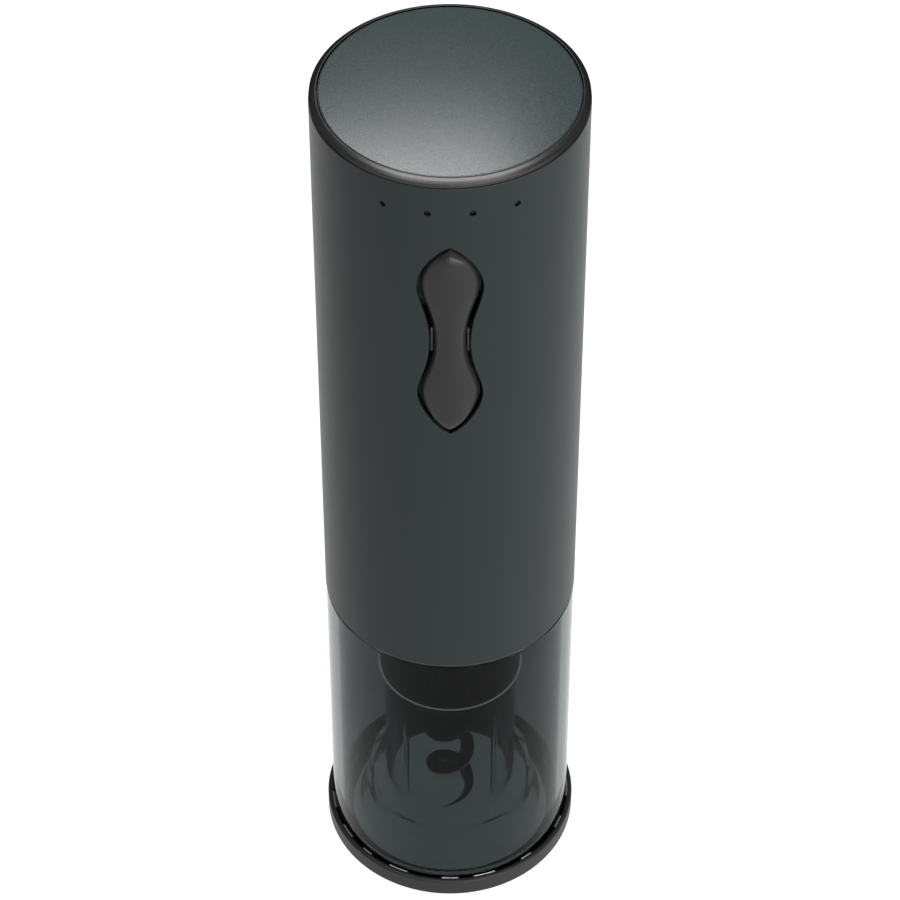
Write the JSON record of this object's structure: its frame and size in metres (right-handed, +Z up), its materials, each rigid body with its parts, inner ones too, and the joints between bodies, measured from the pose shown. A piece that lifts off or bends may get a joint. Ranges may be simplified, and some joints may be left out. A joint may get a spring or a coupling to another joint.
{
  "type": "electric wine opener",
  "caption": "Slim upright cordless corkscrew: clear bottle chamber with a steel worm, planetary gear motor, dark metal tube with an hourglass rocker, black foot ring and flat cap.",
  "frame": {"origin": "on the axis, in the plane that the foot stands on", "axes": "+Z up along the axis, the rocker button faces -Y, +X to the right of it"},
  "size_m": [0.0508, 0.0508, 0.1914],
  "materials": {
    "anodised_shell": "satin, fine bead-blasted, dark grey-green",
    "disc_metal": "fine grained satin",
    "gloss_black": "gloss",
    "button_black": "satin",
    "satin_black": "satin",
    "smoke_clear": "clear moulded plastic, smoke tint",
    "rubber_black": "matt",
    "bright_steel": "polished",
    "screw_steel": "zinc plated",
    "zinc_grey": "sintered metal",
    "gear_white": "moulded",
    "pinion_brass": "turned",
    "magnet_grey": "sintered",
    "frame_grey": "moulded",
    "board_green": "solder mask",
    "lamp_clear": "diffusing",
    "cell_wrap": "shrink wrap",
    "lead_red": "extruded",
    "lead_black": "extruded"
  },
  "bodies": {
    "housing": {"base_pad": "rubber_black", "base_ring": "satin_black", "clear_sleeve": "smoke_clear", "bottle_guide": "smoke_clear", "sleeve_seal": "rubber_black", "nose_housing": "satin_black", "helix_sleeve": "gear_white", "thrust_washer": "bright_steel", "ring_gear": "gear_white", "motor_plate": "zinc_grey", "motor_screw_1": "screw_steel", "motor_screw_2": "screw_steel", "motor_can": "zinc_grey", "motor_magnet": "magnet_grey", "motor_end_bell": "satin_black", "frame_front": "frame_grey", "frame_rear": "frame_grey", "frame_screw_1": "screw_steel", "frame_screw_2": "screw_steel", "frame_screw_3": "screw_steel", "frame_screw_4": "screw_steel", "main_board": "board_green", "charge_led_1": "lamp_clear", "charge_led_2": "lamp_clear", "charge_led_3": "lamp_clear", "charge_led_4": "lamp_clear", "light_guide": "lamp_clear", "upper_switch": "satin_black", "lower_switch": "satin_black", "rocker_pin": "bright_steel", "battery_cell": "cell_wrap", "charge_socket": "bright_steel", "battery_lead_red": "lead_red", "battery_lead_black": "lead_black", "motor_lead_red": "lead_red", "motor_lead_black": "lead_black", "charge_cable": "lead_black", "body_shell": "anodised_shell", "top_ring": "gloss_black", "top_disc": "disc_metal"},
    "rotor": {"motor_rotor": "bright_steel", "motor_pinion": "pinion_brass"},
    "first_stage": {"first_carrier": "zinc_grey"},
    "second_stage": {"second_carrier": "zinc_grey"},
    "drive": {"drive_tube": "zinc_grey"},
    "feed": {"worm": "bright_steel", "worm_carriage": "zinc_grey", "carriage_pin": "bright_steel"},
    "rocker": {"rocker_button": "button_black"},
    "upper_press": {"upper_plunger": "pinion_brass"},
    "lower_press": {"lower_plunger": "pinion_brass"},
    "first_planet_1": {"first_planet_1": "gear_white"},
    "first_planet_2": {"first_planet_2": "gear_white"},
    "first_planet_3": {"first_planet_3": "gear_white"},
    "second_planet_1": {"second_planet_1": "gear_white"},
    "second_planet_2": {"second_planet_2": "gear_white"},
    "second_planet_3": {"second_planet_3": "gear_white"},
    "third_planet_1": {"third_planet_1": "zinc_grey"},
    "third_planet_2": {"third_planet_2": "zinc_grey"},
    "third_planet_3": {"third_planet_3": "zinc_grey"}
  },
  "joints": [
    {"name": "motor_spin", "type": "hinge", "parent": "housing", "child": "rotor", "pos_m": [0, 0, 0.13], "axis": [0, 0, -1], "range_deg": [0, 46080]},
    {"name": "first_carrier_spin", "type": "hinge", "parent": "housing", "child": "first_stage", "pos_m": [0, 0, 0.107], "axis": [0, 0, -1], "range_deg": [0, 11520]},
    {"name": "second_carrier_spin", "type": "hinge", "parent": "housing", "child": "second_stage", "pos_m": [0, 0, 0.101], "axis": [0, 0, -1], "range_deg": [0, 2880]},
    {"name": "drive_spin", "type": "hinge", "parent": "housing", "child": "drive", "pos_m": [0, 0, 0.094], "axis": [0, 0, -1], "range_deg": [0, 720]},
    {"name": "worm_feed", "type": "slide", "parent": "drive", "child": "feed", "axis": [0, 0, -1], "range_m": [0, 0.021]},
    {"name": "rocker_tilt", "type": "hinge", "parent": "housing", "child": "rocker", "pos_m": [0, -0.0206, 0.15465], "axis": [1, 0, 0], "range_deg": [-3, 3], "stiffness_Nm_per_rad": 0.5},
    {"name": "upper_switch_press", "type": "slide", "parent": "housing", "child": "upper_press", "axis": [0, 1, 0], "range_m": [0, 0.00025], "stiffness_N_per_m": 400},
    {"name": "lower_switch_press", "type": "slide", "parent": "housing", "child": "lower_press", "axis": [0, 1, 0], "range_m": [0, 0.00025], "stiffness_N_per_m": 400},
    {"name": "first_planet_1_spin", "type": "hinge", "parent": "first_stage", "child": "first_planet_1", "pos_m": [0, 0.009, 0.11], "axis": [0, 0, -1], "range_deg": [-34560, 0]},
    {"name": "first_planet_2_spin", "type": "hinge", "parent": "first_stage", "child": "first_planet_2", "pos_m": [-0.00779, -0.0045, 0.11], "axis": [0, 0, -1], "range_deg": [-34560, 0]},
    {"name": "first_planet_3_spin", "type": "hinge", "parent": "first_stage", "child": "first_planet_3", "pos_m": [0.00779, -0.0045, 0.11], "axis": [0, 0, -1], "range_deg": [-34560, 0]},
    {"name": "second_planet_1_spin", "type": "hinge", "parent": "second_stage", "child": "second_planet_1", "pos_m": [0, 0.009, 0.1045], "axis": [0, 0, -1], "range_deg": [-8640, 0]},
    {"name": "second_planet_2_spin", "type": "hinge", "parent": "second_stage", "child": "second_planet_2", "pos_m": [-0.00779, -0.0045, 0.1045], "axis": [0, 0, -1], "range_deg": [-8640, 0]},
    {"name": "second_planet_3_spin", "type": "hinge", "parent": "second_stage", "child": "second_planet_3", "pos_m": [0.00779, -0.0045, 0.1045], "axis": [0, 0, -1], "range_deg": [-8640, 0]},
    {"name": "third_planet_1_spin", "type": "hinge", "parent": "drive", "child": "third_planet_1", "pos_m": [0, 0.009, 0.0978], "axis": [0, 0, -1], "range_deg": [-2160, 0]},
    {"name": "third_planet_2_spin", "type": "hinge", "parent": "drive", "child": "third_planet_2", "pos_m": [-0.00779, -0.0045, 0.0978], "axis": [0, 0, -1], "range_deg": [-2160, 0]},
    {"name": "third_planet_3_spin", "type": "hinge", "parent": "drive", "child": "third_planet_3", "pos_m": [0.00779, -0.0045, 0.0978], "axis": [0, 0, -1], "range_deg": [-2160, 0]}
  ],
  "couplings": [
    {"joint": "motor_spin", "follows": "drive_spin", "ratio": 64},
    {"joint": "first_carrier_spin", "follows": "drive_spin", "ratio": 16},
    {"joint": "second_carrier_spin", "follows": "drive_spin", "ratio": 4},
    {"joint": "worm_feed", "follows": "drive_spin", "m_per_rad": 0.0016711},
    {"joint": "first_planet_1_spin", "follows": "drive_spin", "ratio": -48},
    {"joint": "first_planet_2_spin", "follows": "drive_spin", "ratio": -48},
    {"joint": "first_planet_3_spin", "follows": "drive_spin", "ratio": -48},
    {"joint": "second_planet_1_spin", "follows": "drive_spin", "ratio": -12},
    {"joint": "second_planet_2_spin", "follows": "drive_spin", "ratio": -12},
    {"joint": "second_planet_3_spin", "follows": "drive_spin", "ratio": -12},
    {"joint": "third_planet_1_spin", "follows": "drive_spin", "ratio": -3},
    {"joint": "third_planet_2_spin", "follows": "drive_spin", "ratio": -3},
    {"joint": "third_planet_3_spin", "follows": "drive_spin", "ratio": -3}
  ]
}
